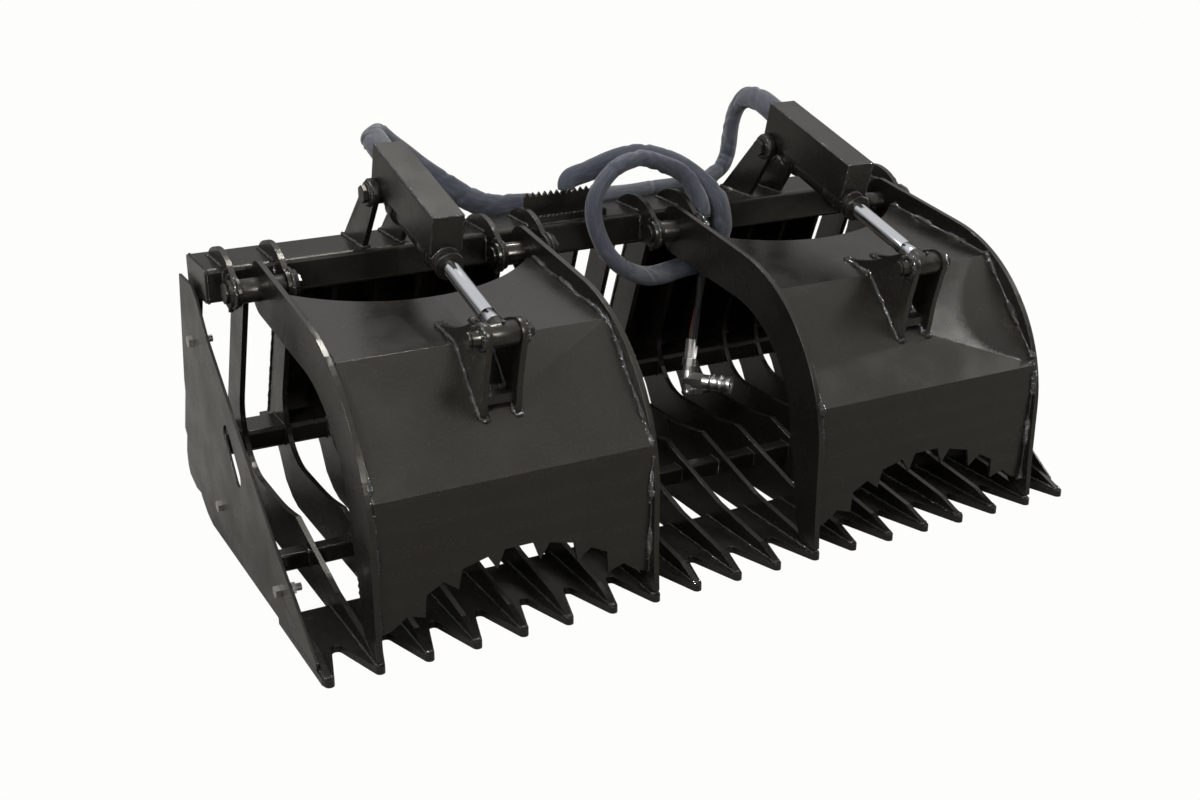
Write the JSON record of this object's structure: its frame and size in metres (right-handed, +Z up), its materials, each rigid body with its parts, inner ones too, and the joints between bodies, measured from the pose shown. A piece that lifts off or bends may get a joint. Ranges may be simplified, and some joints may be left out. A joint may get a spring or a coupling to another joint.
{
  "type": "skid steer grapple",
  "caption": "Black steel rock-bucket grapple with a toothed tine floor, a pair of hydraulically driven arched claws, hose loops and rear quick-attach plates.",
  "frame": {"origin": "centre of the rigid parts' bounding box at floor level, under the bottom of the cutting edge", "axes": "+X to the viewer's right along the cutting edge, +Y from the teeth back to the loader plates, +Z up"},
  "size_m": [1.8744, 1.0836, 0.8889],
  "materials": {
    "black_paint": "gloss",
    "zinc_plate": "satin",
    "chrome_rod": "polished",
    "bare_steel": "satin",
    "woven_sleeve": "woven",
    "hose_rubber": "satin"
  },
  "bodies": {
    "frame": {"cutting_edge": "black_paint", "left_end_plate": "black_paint", "right_end_plate": "black_paint", "left_tines": "black_paint", "centre_tines": "black_paint", "right_tines": "black_paint", "left_side_plate": "black_paint", "right_side_plate": "black_paint", "side_plate_bolts": "zinc_plate", "top_beam": "black_paint", "beam_end_caps": "black_paint", "mid_tube": "black_paint", "lower_tube": "black_paint", "left_attach_plate": "black_paint", "right_attach_plate": "black_paint", "serrated_step": "black_paint", "left_hinge_lugs": "black_paint", "right_hinge_lugs": "black_paint", "left_hinge_pins": "black_paint", "right_hinge_pins": "black_paint", "left_cylinder_lugs": "black_paint", "right_cylinder_lugs": "black_paint", "left_base_pin": "black_paint", "right_base_pin": "black_paint", "left_hose_sleeve": "woven_sleeve", "right_hose_sleeve": "woven_sleeve", "centre_hose_sleeve": "woven_sleeve", "pressure_hose": "hose_rubber", "return_hose": "hose_rubber", "hose_tee": "black_paint", "coupler_adapters": "zinc_plate", "female_coupler": "zinc_plate", "male_coupler": "zinc_plate"},
    "left_claw": {"left_claw_outer_rib": "black_paint", "left_claw_inner_rib": "black_paint", "left_claw_skin": "black_paint", "left_claw_ears": "black_paint", "left_claw_bushings": "black_paint", "left_rod_pin": "black_paint"},
    "left_barrel": {"left_barrel": "black_paint", "left_gland": "black_paint", "left_hose_guard": "black_paint", "left_port_pipes": "black_paint"},
    "left_rod": {"left_piston": "bare_steel", "left_rod": "chrome_rod", "left_rod_eye": "black_paint"},
    "right_claw": {"right_claw_outer_rib": "black_paint", "right_claw_inner_rib": "black_paint", "right_claw_skin": "black_paint", "right_claw_ears": "black_paint", "right_claw_bushings": "black_paint", "right_rod_pin": "black_paint"},
    "right_barrel": {"right_barrel": "black_paint", "right_gland": "black_paint", "right_hose_guard": "black_paint", "right_port_pipes": "black_paint"},
    "right_rod": {"right_piston": "bare_steel", "right_rod": "chrome_rod", "right_rod_eye": "black_paint"},
    "coupler_collar": {"coupler_collar": "zinc_plate"}
  },
  "joints": [
    {"name": "left_claw_hinge", "type": "hinge", "parent": "frame", "child": "left_claw", "pos_m": [-0.508, 0.08322, 0.603], "axis": [-1, 0, 0], "range_deg": [0, 50]},
    {"name": "left_barrel_hinge", "type": "hinge", "parent": "frame", "child": "left_barrel", "pos_m": [-0.508, 0.10122, 0.775], "axis": [-1, 0, 0], "range_deg": [0, 50], "deforming": ["left_hose_sleeve"]},
    {"name": "left_rod_slide", "type": "slide", "parent": "left_barrel", "child": "left_rod", "axis": [0, 0.9619, 0.2734], "range_m": [0, 0.15]},
    {"name": "right_claw_hinge", "type": "hinge", "parent": "frame", "child": "right_claw", "pos_m": [0.508, 0.08322, 0.603], "axis": [-1, 0, 0], "range_deg": [0, 50]},
    {"name": "right_barrel_hinge", "type": "hinge", "parent": "frame", "child": "right_barrel", "pos_m": [0.508, 0.10122, 0.775], "axis": [-1, 0, 0], "range_deg": [0, 50], "deforming": ["right_hose_sleeve"]},
    {"name": "right_rod_slide", "type": "slide", "parent": "right_barrel", "child": "right_rod", "axis": [0, 0.9619, 0.2734], "range_m": [0, 0.15]},
    {"name": "collar_slide", "type": "slide", "parent": "frame", "child": "coupler_collar", "axis": [0.6428, -0.766, 0], "range_m": [0, 0.005], "stiffness_N_per_m": 2000}
  ],
  "couplings": [
    {"joint": "left_barrel_hinge", "follows": "left_claw_hinge", "ratio": 0.992},
    {"joint": "left_rod_slide", "follows": "left_claw_hinge", "m_per_rad": 0.1677},
    {"joint": "right_barrel_hinge", "follows": "right_claw_hinge", "ratio": 0.992},
    {"joint": "right_rod_slide", "follows": "right_claw_hinge", "m_per_rad": 0.1677}
  ]
}
